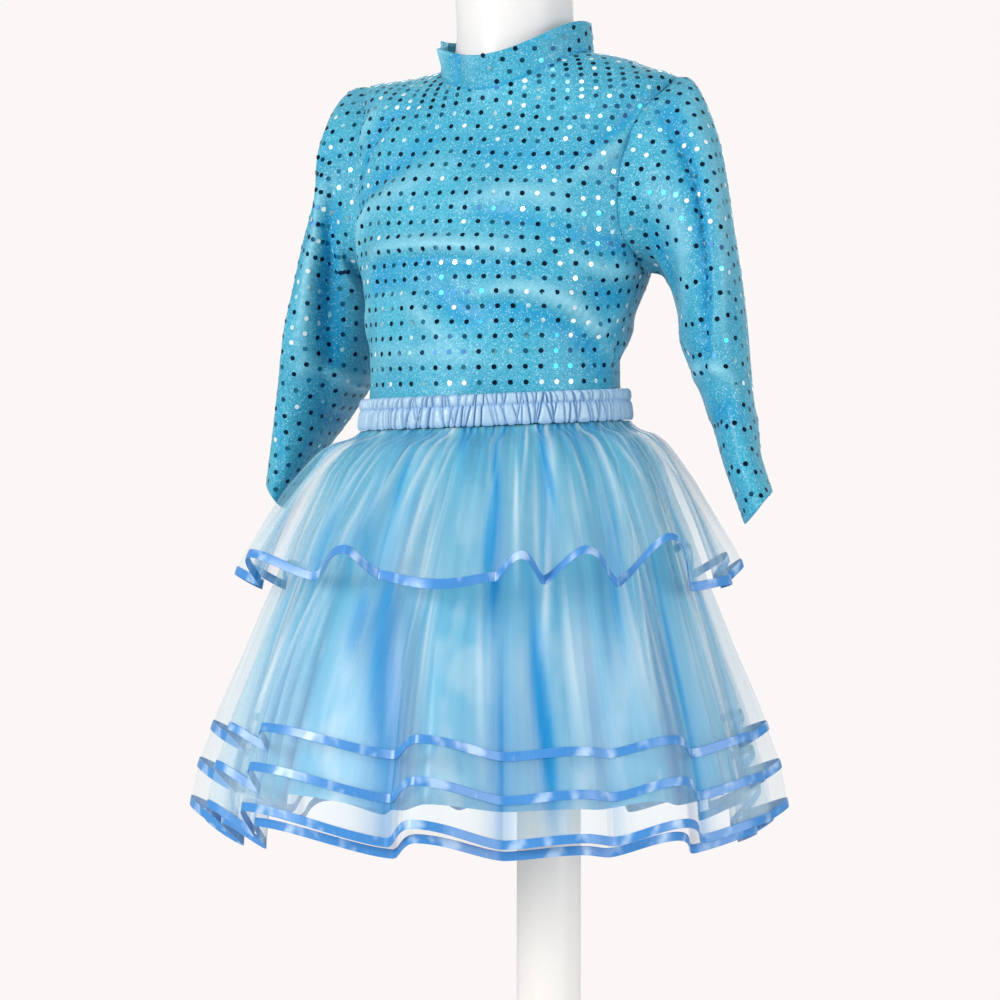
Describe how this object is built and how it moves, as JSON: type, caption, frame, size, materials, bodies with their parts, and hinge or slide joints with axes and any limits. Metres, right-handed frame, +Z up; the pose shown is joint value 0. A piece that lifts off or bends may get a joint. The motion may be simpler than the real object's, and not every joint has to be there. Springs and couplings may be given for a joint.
{
  "type": "skirt and top set on dress form",
  "caption": "Child's stretch top with stand collar and long sleeves over a gathered skirt with sheer tiers, worn on a limbless dress form with pole and round base.",
  "frame": {"origin": "middle of the round base's underside, on the pole's axis", "axes": "+Z up along the pole, -Y the way the set faces, +X the wearer's left"},
  "size_m": [0.412, 0.4231, 0.958],
  "materials": {
    "knit": "stretch knit with fine glitter and flat foil dots",
    "casing_satin": "gathered pale satin over elastic",
    "organza": "sheer crisp organza",
    "lining_satin": "soft satin",
    "ribbon_satin": "glossy satin ribbon",
    "form_white": "smooth white shell",
    "stand_white": "smooth white enamel"
  },
  "bodies": {
    "root": {"top_front": "knit", "top_back": "knit", "sleeve_left": "knit", "sleeve_right": "knit", "collar": "knit", "waistband": "casing_satin", "tier_upper": "organza", "ribbon_upper_hem": "ribbon_satin", "tier_lower": "organza", "ribbon_lower_high": "ribbon_satin", "ribbon_lower_middle": "ribbon_satin", "ribbon_lower_hem": "ribbon_satin", "tier_lower_inner": "organza", "ribbon_inner_hem": "ribbon_satin", "lining": "lining_satin", "form_body": "form_white", "stand_pole": "stand_white", "stand_base": "stand_white"}
  },
  "joints": []
}
